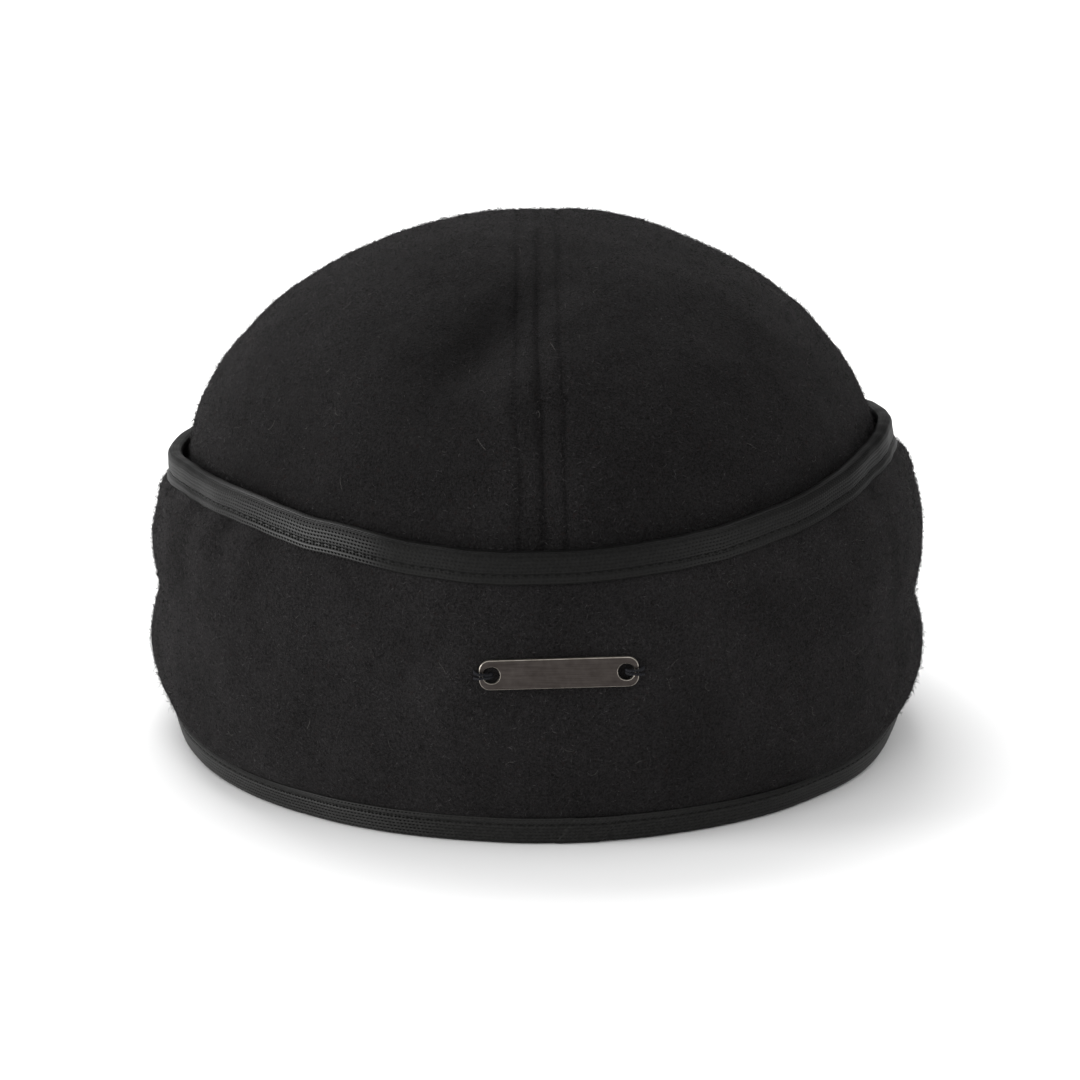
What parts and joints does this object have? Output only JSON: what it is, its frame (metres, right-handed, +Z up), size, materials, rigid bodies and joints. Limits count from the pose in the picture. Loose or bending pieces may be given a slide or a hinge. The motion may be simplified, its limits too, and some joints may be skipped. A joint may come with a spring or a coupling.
{
  "type": "railroad cap",
  "caption": "Rounded wool railroad cap with a folded-up ear band edged in woven tape, a short peak and a small bare metal label at the back.",
  "frame": {"origin": "on the ground under the middle of the whole cap's length and width, as it lies on its lower edge and peak", "axes": "+Z up, -Y towards the peak, +Y towards the back with the label, +X towards the wearer's left"},
  "size_m": [0.1874, 0.2702, 0.1235],
  "materials": {
    "wool": "napped melton wool, matt",
    "tape": "ribbed woven binding tape, matt",
    "nickel": "antique brushed nickel",
    "thread": "dark sewing thread"
  },
  "bodies": {
    "root": {"crown_back_left": "wool", "crown_back_right": "wool", "crown_front_left": "wool", "crown_front_right": "wool", "ear_band": "wool", "binding_top": "tape", "binding_bottom": "tape", "peak": "wool", "label_plate": "nickel", "thread_left": "thread", "thread_right": "thread"}
  },
  "joints": []
}
